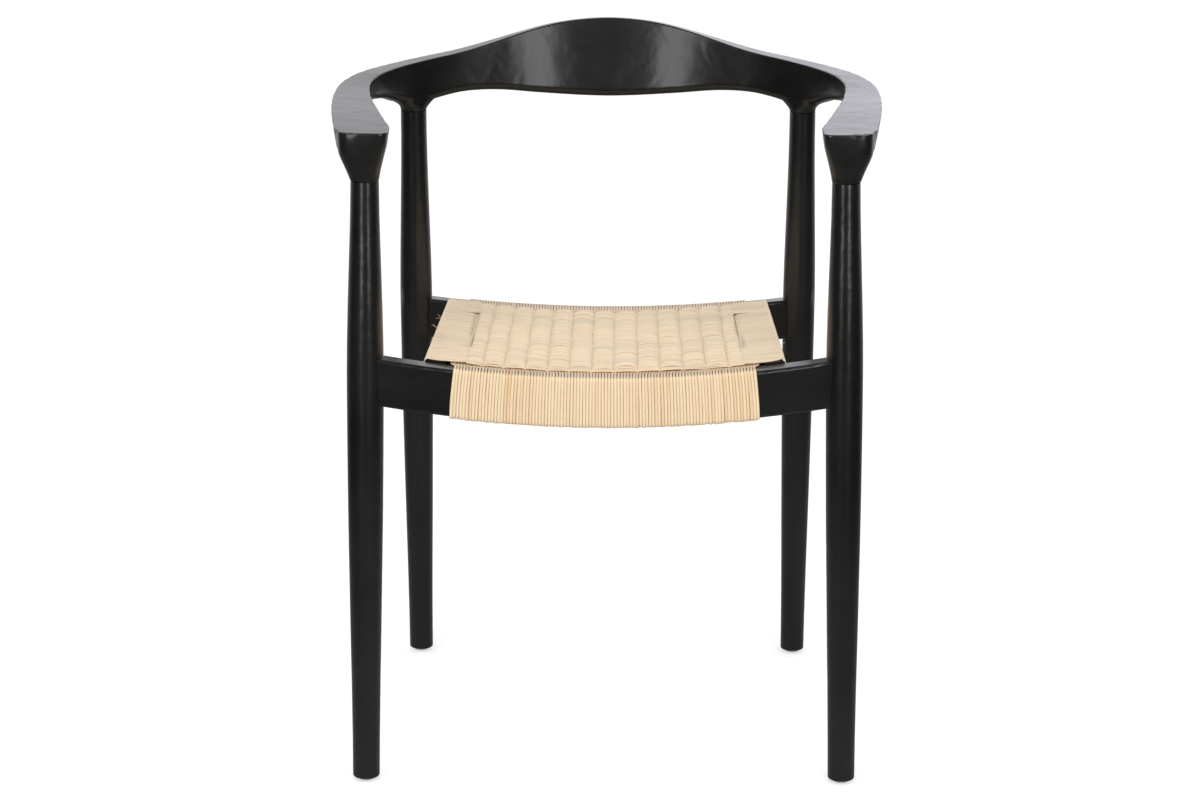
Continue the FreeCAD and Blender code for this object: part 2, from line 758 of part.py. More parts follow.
# Rails, tacks and the cane seat
holes = tacks(fit_gap)
side_sockets = [side_tenon(front_rail_back, -1, fit_gap), side_tenon(rear_rail_face, 1, fit_gap)]
side_sockets += [mirrored(socket) for socket in side_sockets]
front_rail = rail(front_top, front_rail_height, front_rail_thickness, front_rail_centre, leg_spaces[0])
rear_rail = rail(rear_top, rear_rail_height, rear_rail_thickness, rear_rail_centre, leg_spaces[1])
save("front_rail", front_rail.cut(side_sockets + holes["front"]))
save("rear_rail", rear_rail.cut(side_sockets + holes["rear"]))
side_rail_right = side_rail().cut(holes["side"])
save("side_rail_right", side_rail_right)
save("side_rail_left", mirrored(side_rail_right))
driven = tacks(0)
save("cane_tacks", Part.makeCompound(driven["front"] + driven["rear"] + driven["side"]
                                     + [mirrored(one) for one in driven["side"]]))
save("seat_warp", warp_belt())
save("seat_weft", weft_belt())
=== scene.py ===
"""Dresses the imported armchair: satin black lacquer, a woven cane seat, glides and a plain studio."""

import logging
import math
import random
from dataclasses import dataclass, field
from enum import Enum
from typing import Dict, List, Optional, Sequence, Tuple

import bpy
import numpy as np
from mathutils import Matrix, Vector
from mathutils.bvhtree import BVHTree


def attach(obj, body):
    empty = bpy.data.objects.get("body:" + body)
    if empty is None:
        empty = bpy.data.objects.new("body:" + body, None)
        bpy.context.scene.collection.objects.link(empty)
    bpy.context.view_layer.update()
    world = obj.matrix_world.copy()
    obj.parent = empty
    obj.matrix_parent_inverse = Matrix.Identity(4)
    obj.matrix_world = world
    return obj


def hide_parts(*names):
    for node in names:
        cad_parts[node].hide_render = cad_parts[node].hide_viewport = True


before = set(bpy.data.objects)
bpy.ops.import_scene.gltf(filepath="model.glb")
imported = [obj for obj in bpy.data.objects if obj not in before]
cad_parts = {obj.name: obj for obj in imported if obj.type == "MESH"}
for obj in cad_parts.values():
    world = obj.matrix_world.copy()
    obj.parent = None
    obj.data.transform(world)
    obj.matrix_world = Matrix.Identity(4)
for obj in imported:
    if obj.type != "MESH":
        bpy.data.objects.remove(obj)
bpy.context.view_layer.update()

LOG = logging.getLogger("armchair")
Pair = Tuple[float, float]
Point = Tuple[float, float, float]
Colour = Tuple[float, float, float]
Inputs = Dict[object, object]
Array = np.ndarray
Piece = bpy.types.Object
Socket = bpy.types.NodeSocket
Finish = bpy.types.Material
WHITE = (1.0, 1.0, 1.0, 1.0)
BLACK = (0.0, 0.0, 0.0, 1.0)


class Grain(Enum):
    """Which way the wood's grain runs in a piece, as the stretch of its pattern."""

    UPRIGHT = (1.0, 1.0, 0.06)
    ACROSS = (0.06, 1.0, 1.0)
    FORWARD = (1.0, 0.06, 1.0)
    SWEPT = (0.35, 0.35, 1.0)


def deselect() -> None:
    """Leaves nothing selected and nothing active."""
    bpy.ops.object.select_all(action="DESELECT")
    bpy.context.view_layer.objects.active = None


def placed(name: str, data: bpy.types.ID) -> Piece:
    """Puts something into the scene under a name.

    Args:
        name: The new object's name.
        data: Its mesh, lamp or camera.

    Returns:
        The new object.
    """
    piece = bpy.data.objects.new(name, data)
    bpy.context.scene.collection.objects.link(piece)
    return piece


def read(items: bpy.types.bpy_prop_collection, key: str, width: int, kind: type = float) -> Array:
    """Reads one value of every vertex or face.

    Args:
        items: A mesh's vertices or faces.
        key: The value's name.
        width: How many numbers it has.
        kind: The numbers' type.

    Returns:
        A row of numbers for each item.
    """
    values = np.zeros(len(items) * width, kind)
    items.foreach_get(key, values)
    return values.reshape(-1, width)


def dress(piece: Piece, material: Finish) -> None:
    """Gives a piece one finish all over."""
    piece.data.materials.clear()
    piece.data.materials.append(material)


def shown(piece: Piece, replaced: Sequence[str] = ()) -> None:
    """Lets a new piece ride on the chair and hides the nodes that it stands for.

    Args:
        piece: The new piece, in its place.
        replaced: CAD nodes that the piece stands for.
    """
    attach(piece, "root")
    if replaced:
        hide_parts(*replaced)
    LOG.info("%s: %d faces", piece.name, len(piece.data.polygons))


class Nodes:
    """Adds and joins the nodes of one tree."""

    def __init__(self, tree: bpy.types.NodeTree) -> None:
        """Keeps the tree that the nodes go into."""
        self.tree = tree

    def add(self, kind: str, inputs: Optional[Inputs] = None, **settings: object) -> bpy.types.Node:
        """Adds a node.

        Args:
            kind: The node's type without its prefix.
            inputs: Values or sockets for its inputs, by name or number.
            settings: The node's own settings.

        Returns:
            The new node.
        """
        node = self.tree.nodes.new("ShaderNode" + kind)
        for key, value in settings.items():
            setattr(node, key, value)
        self.feed(node, inputs or {})
        return node

    def feed(self, node: bpy.types.Node, inputs: Inputs) -> None:
        """Sets or joins a node's inputs.

        Args:
            node: The node.
            inputs: Values or sockets, by name or number.
        """
        for key, value in inputs.items():
            if isinstance(value, Socket):
                self.tree.links.new(value, node.inputs[key])
            else:
                node.inputs[key].default_value = value

    def noise(self, place: Socket, scale: float, detail: float, **more: float) -> Socket:
        """Noise at a place, with more of the node's inputs by name."""
        return self.add("TexNoise", {"Vector": place, "Scale": scale, "Detail": detail, **more}).outputs[0]

    def bump(self, height: Socket, strength: float, distance: float, **under: Socket) -> Socket:
        """Heights that only the light shows, over another bump where one is given as Normal."""
        inputs = {"Strength": strength, "Distance": distance, "Height": height, **under}
        return self.add("Bump", inputs).outputs[0]

    def ramp(self, factor: Socket, stops: Sequence[Tuple[float, Colour]]) -> Socket:
        """Turns a value into a colour along the stops.

        Args:
            factor: The value.
            stops: Places and colours, in order.

        Returns:
            The colour's socket.
        """
        node = self.add("ValToRGB", {0: factor})
        while len(node.color_ramp.elements) < len(stops):
            node.color_ramp.elements.new(0.5)
        for element, (place, colour) in zip(node.color_ramp.elements, stops):
            element.position = place
            element.color = (*colour, 1.0)
        return node.outputs[0]

    def blend(self, factor: object, first: object, second: object) -> Socket:
        """Mixes two colours by a factor, from the first at zero to the second at one."""
        return self.add("Mix", {0: factor, 6: first, 7: second}, data_type="RGBA").outputs[2]

    def mix(self, factor: object, first: object, second: object) -> Socket:
        """Mixes two values by a factor."""
        return self.add("Mix", {0: factor, 2: first, 3: second}).outputs[0]

    def maths(self, operation: str, *values: object) -> Socket:
        """One sum on values or sockets."""
        return self.add("Math", dict(enumerate(values)), operation=operation).outputs[0]

    def spread(self, value: Socket, low: float, high: float, start: float, end: float) -> Socket:
        """Maps a value from low and high to start and end."""
        return self.add("MapRange", {0: value, 1: low, 2: high, 3: start, 4: end}).outputs[0]


class Graph(Nodes):
    """The nodes of one new material."""

    def __init__(self, name: str) -> None:
        """Starts a material that holds only its main shader.

        Args:
            name: The material's name.
        """
        self.material = bpy.data.materials.new(name)
        self.material.use_nodes = True
        super().__init__(self.material.node_tree)
        self.shader = self.tree.nodes["Principled BSDF"]


@dataclass(frozen=True)
class Lacquer:
    """Satin black lacquer, through which a little of the close wood grain shows."""

    grain: Grain
    deep: Colour = (0.0038, 0.0037, 0.0034)
    worn: Colour = (0.0090, 0.0087, 0.0078)
    tone_reach: Pair = (0.42, 0.78)
    pore_scale: float = 520.0
    figure_scale: float = 46.0
    rubbed_scale: float = 11.0
    peel_scale: float = 300.0
    uneven_scale: float = 90.0
    lump_scale: float = 34.0
    lump_height: float = 0.0024
    film_height: float = 0.0008
    pore_height: float = 0.0004
    roughness: float = 0.24
    specular: float = 0.22
    coat: float = 0.75
    coat_below: float = 0.15
    coat_roughness: float = 0.22
    facing_down: Pair = (-0.75, -0.15)

    def make(self) -> Finish:
        """Builds the material, whose coat is thinner where the wood faces down.

        Returns:
            The material.
        """
        graph = Graph("lacquer_" + self.grain.name.lower())
        place = graph.add("TexCoord").outputs["Object"]
        along = graph.add("Mapping", {"Vector": place, "Scale": self.grain.value}).outputs[0]
        pores = graph.noise(along, self.pore_scale, 4.0, Roughness=0.6)
        figure = graph.noise(along, self.figure_scale, 5.0, Roughness=0.62)
        rubbed = graph.noise(place, self.rubbed_scale, 3.0)
        peel = graph.noise(place, self.peel_scale, 1.0)
        tone = graph.maths("MULTIPLY_ADD", rubbed, 0.6, graph.maths("MULTIPLY", figure, 0.5))
        colour = graph.ramp(tone, tuple(zip(self.tone_reach, (self.deep, self.worn))))
        gloss = graph.maths("MULTIPLY_ADD", rubbed, 0.14, self.roughness)
        gloss = graph.maths("MULTIPLY_ADD", figure, 0.10, gloss)
        height = graph.maths("MULTIPLY_ADD", pores, 0.45, graph.maths("MULTIPLY", peel, 0.35))
        uneven = graph.noise(along, self.uneven_scale, 3.0, Roughness=0.5)
        lumps = graph.noise(place, self.lump_scale, 1.5, Distortion=0.5)
        sanded = graph.bump(lumps, 0.30, self.lump_height)
        film = graph.bump(uneven, 0.20, self.film_height, Normal=sanded)
        facing = graph.add("SeparateXYZ", {0: graph.add("NewGeometry").outputs["Normal"]}).outputs[2]
        graph.feed(graph.shader, {
            "Base Color": colour,
            "Roughness": gloss,
            "Normal": graph.bump(height, 0.14, self.pore_height, Normal=film),
            "Specular IOR Level": self.specular,
            "Coat Weight": graph.spread(facing, *self.facing_down, self.coat_below, self.coat),
            "Coat Roughness": self.coat_roughness,
            "Coat Normal": sanded,
        })
        return graph.material


@dataclass(frozen=True)
class Cane:
    """Natural split cane: pale, streaked along its fibres; its browner edges are partly its colour, partly
    painted shade.
    """

    name: str = "wound_cane"
    pale: Colour = (0.765, 0.612, 0.412)
    warm: Colour = (0.690, 0.475, 0.275)
    grey: Colour = (0.680, 0.530, 0.350)
    edge_brown_and_shade: Colour = (0.480, 0.270, 0.110)
    # The greyer colour for stains and for painted shade on the rail tops, at the borders and towards the rear
    soiled_and_shaded: Colour = (0.600, 0.480, 0.360)
    # The colour that painted shade in slits, dips and gaps darkens the cane towards
    depth: Colour = (0.070, 0.038, 0.018)
    tone_places: Tuple[float, ...] = (0.08, 0.34, 0.66, 0.98)
    fibre_stretch: Point = (5.0, 26.0, 1.0)
    fibre_height: float = 0.00012
    patch_stretch: Point = (1.0, 15.0, 1.0)
    streaks: float = 0.42
    rim: Pair = (0.24, 0.5)
    edge_brown_and_shade_share: float = 0.85
    soil_and_shade_strength: float = 0.8
    roughness: float = 0.46
    specular: float = 0.30
    sheen: float = 0.05

    def make(self) -> Finish:
        """Builds the material, which reads the strands' own attributes.

        Returns:
            The material.
        """
        graph = Graph(self.name)
        tone, soil_and_shade, deep = [graph.add("Attribute", attribute_name=key).outputs["Fac"]
                            for key in ("tone", "soil_and_shade", "deep")]
        flat = graph.add("UVMap", uv_map="strand").outputs[0]
        across = graph.add("SeparateXYZ", {0: flat}).outputs[0]
        fibres_at = graph.add("Mapping", {"Vector": flat, "Scale": self.fibre_stretch}).outputs[0]
        fibres = graph.noise(fibres_at, 2.6, 4.0, Roughness=0.65)
        patches_at = graph.add("Mapping", {"Vector": flat, "Scale": self.patch_stretch}).outputs[0]
        patches = graph.noise(patches_at, 1.0, 2.0)
        mixed = graph.maths("MULTIPLY_ADD", patches, 0.45, graph.maths("MULTIPLY_ADD", tone, 0.75, -0.1))
        body = graph.ramp(mixed, tuple(zip(self.tone_places, (self.grey, self.pale, self.pale, self.warm))))
        body = graph.blend(graph.spread(fibres, 0.52, 0.80, 0.0, self.streaks), body, (*self.warm, 1.0))
        # Browner towards each strand's edges: the cane's own edge colour together with painted shade for its
        # roundness.
        off_centre = graph.maths("ABSOLUTE", graph.maths("SUBTRACT", across, 0.5))
        body = graph.blend(graph.spread(off_centre, *self.rim, 0.0, self.edge_brown_and_shade_share), body, (*self.edge_brown_and_shade, 1.0))
        # Greyer where the cane carries stains mixed with painted shade
        body = graph.blend(graph.maths("MULTIPLY", soil_and_shade, self.soil_and_shade_strength), body, (*self.soiled_and_shaded, 1.0))
        graph.feed(graph.shader, {
            # Painted shade: deep darkens the cane towards depth in slits, dips and gaps
            "Base Color": graph.blend(deep, body, (*self.depth, 1.0)),
            "Roughness": self.roughness,
            "Normal": graph.bump(fibres, 0.35, self.fibre_height),
            "Specular IOR Level": self.specular,
            "Sheen Weight": self.sheen,
        })
        return graph.material


@dataclass(frozen=True)
class Plain:
    """A plastic or metal of one colour with fine unevenness."""

    name: str
    colour: Colour
    roughness: float
    metallic: float = 0.0
    glow: float = 0.0
    mottle_scale: float = 260.0
    mottle_height: float = 0.0002
    darkening: float = 0.86

    def make(self) -> Finish:
        """Builds the material.

        Returns:
            The material.
        """
        graph = Graph(self.name)
        mottle = graph.noise(graph.add("TexCoord").outputs["Object"], self.mottle_scale, 3.0)
        darker = tuple(channel * self.darkening for channel in self.colour)
        graph.feed(graph.shader, {
            "Base Color": graph.ramp(mottle, ((0.3, darker), (0.7, self.colour))),
            "Roughness": graph.spread(mottle, 0.0, 1.0, self.roughness * 0.8, self.roughness * 1.2),
            "Normal": graph.bump(mottle, 0.15, self.mottle_height),
            "Metallic": self.metallic,
            "Subsurface Weight": self.glow,
        })
        return graph.material


@dataclass(frozen=True)
class Rail:
    """One dished rail under the cane: its arc, its height, and its front and back faces, in metres."""

    span: float
    sag: float
    low: float
    height: float
    face: float
    back: float

    def top(self, x: Array) -> Array:
        """Top of the rail."""
        bend = (self.span ** 2 + self.sag ** 2) / (2 * self.sag)
        return self.low + (bend - np.sqrt(bend ** 2 - x ** 2))

    def bottom(self, x: Array) -> Array:
        """Lower edge of the rail."""
        return self.top(x) - self.height


@dataclass(frozen=True)
class SeatBed:
    """The dished bed under the cane, in metres, from the rails that carry it."""

    front: Rail = Rail(span=0.23083, sag=0.0193, low=0.4400, height=0.0505, face=-0.22632, back=-0.20032)
    rear: Rail = Rail(span=0.20485, sag=0.0129, low=0.4268, height=0.046, face=0.16863, back=0.19163)
    side_outer: float = 0.18460
    side_splay: float = 0.004
    corner: float = 0.003

    def top(self, x: Array, y: Array) -> Array:
        """Line from the front rail's rear edge to the rear rail's back edge."""
        share = (y - self.front.back) / (self.rear.back - self.front.back)
        return self.front.top(x) * (1 - share) + self.rear.top(x) * share

    def bottom(self, x: Array, y: Array) -> Array:
        """Line from the front rail's lower face edge to the rear rail's."""
        share = (y - self.front.face) / (self.rear.face - self.front.face)
        return self.front.bottom(x) * (1 - share) + self.rear.bottom(x) * share

    def side(self, y: float) -> float:
        """Outer face of the right-hand side rail."""
        return self.side_outer + self.side_splay * (self.rear.face - y) / (self.rear.face - self.front.back)


def wave(rng: random.Random, count: int, reach: float, swing: float) -> Array:
    """A smooth random run of values.

    Args:
        rng: The seeded source.
        count: How many values.
        reach: How many values one swell spans.
        swing: The size of the swells.

    Returns:
        The values, around zero.
    """
    knots = int(count / reach) + 4
    heights = [rng.uniform(-1, 1) for _ in range(knots)]
    places = np.arange(count) / reach
    whole = places.astype(int)
    part = places - whole
    part = part * part * (3 - 2 * part)
    heights = np.array(heights)
    return swing * (heights[whole] * (1 - part) + heights[whole + 1] * part)


class StrandLoop:
    """One closed cane, modelled once as a ring and laid along each strand's own path."""

    tone_shift: float = 7.0

    def __init__(self, rings: int, sides: int) -> None:
        """Models the ring and reads how its faces join its vertices.

        Args:
            rings: Sections along the strand.
            sides: Corners of each section.
        """
        self.rings = rings
        self.sides = sides
        deselect()
        bpy.ops.mesh.primitive_torus_add(major_segments=rings, minor_segments=sides, major_radius=1.0,
                                         minor_radius=0.25)
        ring = bpy.context.object
        spots = np.array([vertex.co for vertex in ring.data.vertices])
        turn = np.arctan2(spots[:, 1], spots[:, 0]) / (2 * math.pi)
        roll = np.arctan2(spots[:, 2], np.hypot(spots[:, 0], spots[:, 1]) - 1.0) / (2 * math.pi)
        self.ring_of = np.round(turn * rings).astype(int) % rings
        self.side_of = np.round(roll * sides).astype(int) % sides
        self.faces = np.array([list(face.vertices) for face in ring.data.polygons])
        bpy.data.objects.remove(ring, do_unlink=True)

    def lay(self, name: str, strands: Sequence["Strand"]) -> Piece:
        """Lays one copy of the ring along each strand and joins them into a piece.

        Args:
            name: The piece's name.
            strands: The strands, each with a path of as many points as the ring has sections.

        Returns:
            The piece.
        """
        mesh = bpy.data.meshes.new(name)
        spots = [strand.skin(self.sides)[self.ring_of, self.side_of] for strand in strands]
        faces = [self.faces + number * self.rings * self.sides for number in range(len(strands))]
        mesh.from_pydata(np.concatenate(spots).tolist(), [], np.concatenate(faces).tolist())
        layer = mesh.uv_layers.new(name="strand")
        flats = np.concatenate([self.unrolled(strand) for strand in strands])
        layer.data.foreach_set("uv", flats.ravel().astype(np.float32))
        # Per vertex: tone, stains mixed with painted shade, and painted shade alone in slits, dips and gaps
        for key in ("tone", "soil_and_shade", "deep"):
            values = np.concatenate([getattr(strand, key)[self.ring_of] for strand in strands])
            attribute = mesh.attributes.new(key, "FLOAT", "POINT")
            attribute.data.foreach_set("value", values.astype(np.float32))
        mesh.shade_smooth()
        return placed(name, mesh)

    def unrolled(self, strand: "Strand") -> Array:
        """Places of every face's corners on the flat cane: across its width and along it in metres.

        Args:
            strand: The strand.

        Returns:
            Two numbers for each corner of each face.
        """
        steps = np.linalg.norm(np.diff(strand.path, axis=0), axis=1)
        travel = np.concatenate(([0.0], np.cumsum(steps)))
        rings = self.ring_of[self.faces]
        along = travel[rings]
        along[(rings.max(axis=1) - rings.min(axis=1)) > self.rings / 2] = travel[-1]
        roll = self.side_of[self.faces] / self.sides * 2 * math.pi
        across = 0.5 + 0.5 * np.sin(roll)
        return np.stack((across, along + strand.tone[0] * self.tone_shift), axis=2).reshape(-1, 2)


@dataclass
class Strand:
    """One cane's own path and section, with its looks at every point of the path."""

    path: Array
    across: Vector
    width: Array
    thickness: float
    tone: Array
    # Stains mixed with painted shade, then painted shade alone in slits, dips and gaps
    soil_and_shade: Array
    deep: Array
    tilt: Array
    flatness: float = 0.75

    def skin(self, sides: int) -> Array:
        """The corners of every section along the path.

        Args:
            sides: Corners of each section.

        Returns:
            Points by section and corner.
        """
        ahead = np.roll(self.path, -1, axis=0) - np.roll(self.path, 1, axis=0)
        ahead /= np.linalg.norm(ahead, axis=1)[:, None]
        across = np.array(self.across)
        out = np.cross(ahead, across)
        out /= np.linalg.norm(out, axis=1)[:, None]
        lean = self.tilt[:, None]
        side = across * np.cos(lean) + out * np.sin(lean)
        face = out * np.cos(lean) - across * np.sin(lean)
        roll = np.arange(sides) / sides * 2 * math.pi
        flat = np.sign(np.sin(roll)) * np.abs(np.sin(roll)) ** self.flatness / 2
        high = np.cos(roll) * self.thickness / 2
        return (self.path[:, None, :] + face[:, None, :] * high[None, :, None]
                + side[:, None, :] * (flat[None, :] * self.width[:, None])[:, :, None])


def rounded_path(corners: Sequence[Pair], radii: Sequence[float], turns: int,
                 runs: Sequence[int]) -> Array:
    """A closed line in a plane, with an arc at each corner and evenly spaced points between.

    Args:
        corners: The corners in order.
        radii: The arcs' radii.
        turns: Points on each arc.
        runs: Points inside each straight run that follows a corner.

    Returns:
        The points, two numbers each.
    """
    count = len(corners)
    corners = [np.array(corner, float) for corner in corners]
    arcs = []
    for index in range(count):
        back = corners[index - 1] - corners[index]
        on = corners[(index + 1) % count] - corners[index]
        back /= np.linalg.norm(back)
        on /= np.linalg.norm(on)
        half = math.acos(max(-1.0, min(1.0, float(back @ on)))) / 2
        reach = radii[index] / math.tan(half)
        centre = corners[index] + (back + on) / np.linalg.norm(back + on) * radii[index] / math.sin(half)
        start = corners[index] + back * reach - centre
        end = corners[index] + on * reach - centre
        points = []
        for step in range(turns):
            share = step / (turns - 1)
            mix = start * (1 - share) + end * share
            points.append(centre + mix / max(np.linalg.norm(mix), 1e-9) * radii[index])
        arcs.append(points)
    line = []
    for index in range(count):
        line += arcs[index]
        start, end = arcs[index][-1], arcs[(index + 1) % count][0]
        for step in range(runs[index]):
            share = (step + 1) / (runs[index] + 1)
            line.append(start * (1 - share) + end * share)
    return np.array(line)


@dataclass
class Row:
    """What sets one weft apart, with its tones, its painted shade, and its stains mixed with painted shade,
    by border and column from left to right.
    """

    y: float
    arches: Array
    stray: float
    tones: Array
    painted_shades: Array
    soils_and_shades: Array
    lip: float
    # Strength of the lens-shaped painted shadows beside the grooves
    lens: float


@dataclass
class CaneSeat:
    """The woven seat: warps wound round the front and rear rails, wefts woven over them.

    A wave or swell is given as how many values one swell spans and how high it is.
    """

    bed: SeatBed = field(default_factory=SeatBed)
    seed: int = 7
    thickness: float = 0.0013
    gap: float = 0.00015
    layer_gap: float = 0.0003
    # Warps
    warp_count: int = 98
    warp_sides: int = 8
    warp_reach: float = 0.1620
    warp_width: float = 0.00350
    warp_drift: Pair = (6, 0.00025)
    warp_jitter: float = 0.00008
    warp_lift: float = 0.00022
    warp_slack: Pair = (0.0002, 0.0010)
    warp_sway: Pair = (7, 0.00012)
    warp_twist: Pair = (9, 0.05)
    warp_tilt: float = 0.05
    warp_widths: Pair = (0.96, 1.02)
    warp_tones: Pair = (0.2, 1.0)
    warp_bends: Pair = (0.05, 0.02)
    warp_turns: int = 6
    warp_runs: Tuple[int, ...] = (8, 4, 7, 8, 2, 4)
    front_narrowing: float = 0.028
    rail_fade: float = 0.01
    top_fade: Pair = (0.0004, 0.0005)
    pinch: float = 0.22
    rail_top_soil_and_shade: float = 0.4
    outer_warps: float = 0.003
    outer_tone: float = 0.45
    # Wefts
    weft_count: int = 134
    weft_sides: int = 6
    weft_width: float = 0.0029
    weft_margins: Pair = (0.0018, 0.0016)
    weft_play: Pair = (-0.0001, 0.00025)
    weft_widths: Pair = (0.96, 1.03)
    weft_waves: Pair = (9, 0.00022)
    weft_twist: Pair = (14, 0.10)
    rear_bow: float = 0.048
    lag_waves: Pair = (30, 0.00035)
    lip_lag: float = 0.0030
    lip_lift: float = 0.0006
    lip_waves: Pair = (9, 0.0006)
    lip_curl: float = 0.0018
    lip_rows: int = 3
    below_points: int = 13
    # Columns between the grooves, and the borders outside the slits
    grooves: Tuple[float, ...] = (-0.1460, -0.1288, -0.1065, -0.0841, -0.0609, -0.0380, -0.0144, 0.0090,
                                  0.0342, 0.0577, 0.0818, 0.1059, 0.1297, 0.1460)
    groove_depth: float = 0.0009
    groove_width: float = 0.0011
    groove_sections: Pair = (0.0011, 0.0026)
    stray_waves: Pair = (24, 0.0009)
    arch: float = 0.0028
    arch_fullness: float = 2.2
    arch_swells: Tuple[Pair, Pair] = ((5, 0.00035), (17, 0.0004))
    arch_steps: Pair = (4, 0.0001)
    arch_jitter: float = 0.0001
    outer_arch: float = 0.7
    front_growth: Pair = (0.12, 0.16)
    rear_growth: Pair = (0.30, 0.13)
    border_rise: float = 0.0011
    border_sink: float = 0.0006
    border_width: float = 0.030
    slit_front: float = -0.112
    slit_rear: float = 0.101
    slit_ends: Pair = (0.006, 0.003)
    slit_depth: float = 0.0030
    slit_width: float = 0.0012
    slit_sections: Pair = (0.0008, 0.0016)
    seam_rise: float = 0.0006
    # Looks of the wefts, painted shade among them; dark_rows and lens_rows count from the last weft
    tone: float = 0.40
    tone_swell: Pair = (5, 0.22)
    tone_drift: Pair = (4, 0.20)
    tone_jitter: float = 0.14
    stain_swell: Pair = (11, 0.22)
    first_loose: Tuple[int, int] = (2, 6)
    next_loose: Tuple[int, int] = (2, 9)
    loose_shades: Pair = (0.05, 0.27)
    loose_drop: float = 0.0020
    border_shade: float = 0.5
    dark_rows: Tuple[int, ...] = (3, 2)
    dark_shades: Pair = (0.10, 0.34)
    # Stains mixed with painted shade in the borders, painted shade growing towards the rear, and a cap on
    # both
    border_soil_and_shade: float = 0.26
    rear_painted_shade: float = 0.14
    most_soil_and_shade: float = 0.6
    lens_rows: Tuple[int, ...] = (5, 4)
    lens_shade: float = 0.36
    lens_offset: float = 0.002
    lens_width: float = 0.003
    # Loose fibres: root across the seat and from front to back, then the tip's place from the root
    fibre_width: float = 0.00035
    fibre_sides: int = 4
    fibre_lift: float = 0.0024
    fibre_arch: float = 0.0016
    fibre_half: float = 0.00006
    fibre_inset: float = 0.0004
    fibre_tone: float = 0.45
    fibre_points: int = 6
    fibre_places: Tuple[Tuple[float, ...], ...] = (
        (-0.2000, 0.044, -0.004, 0.000, 0.0035),
        (-0.2000, 0.038, -0.005, -0.004, 0.0010),
        (-0.2000, -0.018, -0.006, 0.004, 0.0020),
        (-0.2000, -0.026, -0.004, 0.006, 0.0040),
        (0.2000, -0.118, 0.005, 0.004, 0.0030),
        (-0.1500, -0.112, -0.006, 0.012, 0.0020),
        (-0.1460, -0.110, 0.004, 0.016, 0.0015),
        (-0.1490, -0.104, 0.005, -0.012, 0.0015),
        (0.1140, 0.070, 0.005, 0.010, 0.0020),
        (0.1190, 0.080, 0.005, -0.008, -0.0010),
    )

    def build(self) -> List[Piece]:
        """Lays both layers of cane.

        Returns:
            The pieces.
        """
        pieces = [self.warps(), *self.wefts(), self.fibres()]
        for piece, replaced in zip(pieces, (["seat_warp"], ["seat_weft"], [], [])):
            shown(piece, replaced)
        return pieces

    def warps(self) -> Piece:
        """The canes wound from front to back.

        Returns:
            The piece.
        """
        rng = random.Random(self.seed)
        strands = []
        drift = wave(rng, self.warp_count, *self.warp_drift)
        for number in range(self.warp_count):
            x = (number - (self.warp_count - 1) / 2) * 2 * self.warp_reach / self.warp_count
            x = x + drift[number] + rng.uniform(-self.warp_jitter, self.warp_jitter)
            strands.append(self.warp(rng, x))
        return StrandLoop(len(strands[0].path), self.warp_sides).lay("cane_warps", strands)

    def warp(self, rng: random.Random, x: float) -> Strand:
        """One cane wound round the front and rear rails.

        Args:
            rng: The seeded source.
            x: Its place across the seat.

        Returns:
            The strand.
        """
        bed = self.bed
        off = self.gap + self.thickness / 2 + rng.uniform(0.0, self.warp_lift)
        low_off = off + self.warp_slack[0] + rng.uniform(0.0, self.warp_slack[1])
        front, rear = float(bed.front.top(x)), float(bed.rear.top(x))
        corners = (
            (bed.rear.back + off, rear + off),
            (bed.front.back, front + off),
            (bed.front.face - off, front + off),
            (bed.front.face - off, front - bed.front.height - low_off),
            (bed.rear.face, rear - bed.rear.height - low_off),
            (bed.rear.back + off, rear - bed.rear.height - low_off),
        )
        turn = bed.corner + off
        radii = (turn, self.warp_bends[0], turn, turn, self.warp_bends[1], turn)
        flat = rounded_path(corners, radii, self.warp_turns, self.warp_runs)
        count = len(flat)
        on_front = np.clip((bed.front.back - flat[:, 0]) / self.rail_fade, 0, 1)
        on_rear = np.clip((flat[:, 0] - bed.rear.face) / self.rail_fade, 0, 1)
        height = np.clip((flat[:, 1] - (front - bed.front.height)) / bed.front.height, 0, 1)
        narrow = 1 - self.front_narrowing * on_front * height ** 1.5
        sway = wave(rng, count, *self.warp_sway)
        path = np.stack((x * narrow + sway, flat[:, 0], flat[:, 1]), axis=1)
        start, fade = self.top_fade
        above_front = np.clip((flat[:, 1] - front - start) / fade, 0, 1)
        above_rear = np.clip((flat[:, 1] - rear - start) / fade, 0, 1)
        tilt = wave(rng, count, *self.warp_twist) + rng.uniform(-self.warp_tilt, self.warp_tilt)
        # Greyer on top of the rails, under the wefts' overhang: wear mixed with painted shade
        soil_and_shade = np.clip(above_front * on_front + above_rear * on_rear, 0, 1)
        width = self.warp_width * rng.uniform(*self.warp_widths) * (1 - self.pinch * soil_and_shade)
        outer = abs(x) > self.warp_reach - self.outer_warps
        tone = np.full(count, self.outer_tone if outer else rng.uniform(*self.warp_tones))
        return Strand(path, Vector((1, 0, 0)), width, self.thickness, tone, self.rail_top_soil_and_shade * soil_and_shade,
                      np.zeros(count), tilt)

    def across_places(self, reach: float) -> Array:
        """Places of a weft's sections along its top run, close at the grooves.

        Args:
            reach: Half length of the run.

        Returns:
            The places, from left to right.
        """
        near, far = self.groove_sections
        close, wide = self.slit_sections
        first, last = self.grooves[0], self.grooves[-1]
        places = list(np.linspace(-reach, first - wide, 8)) + [first - close]
        for left, right in zip(self.grooves, self.grooves[1:]):
            places += [left, left + near, left + far]
            places += list(np.linspace(left + far, right - far, 6)[1:-1])
            places += [right - far, right - near]
        places += [last, last + close] + list(np.linspace(last + wide, reach, 8))
        return np.array(places)

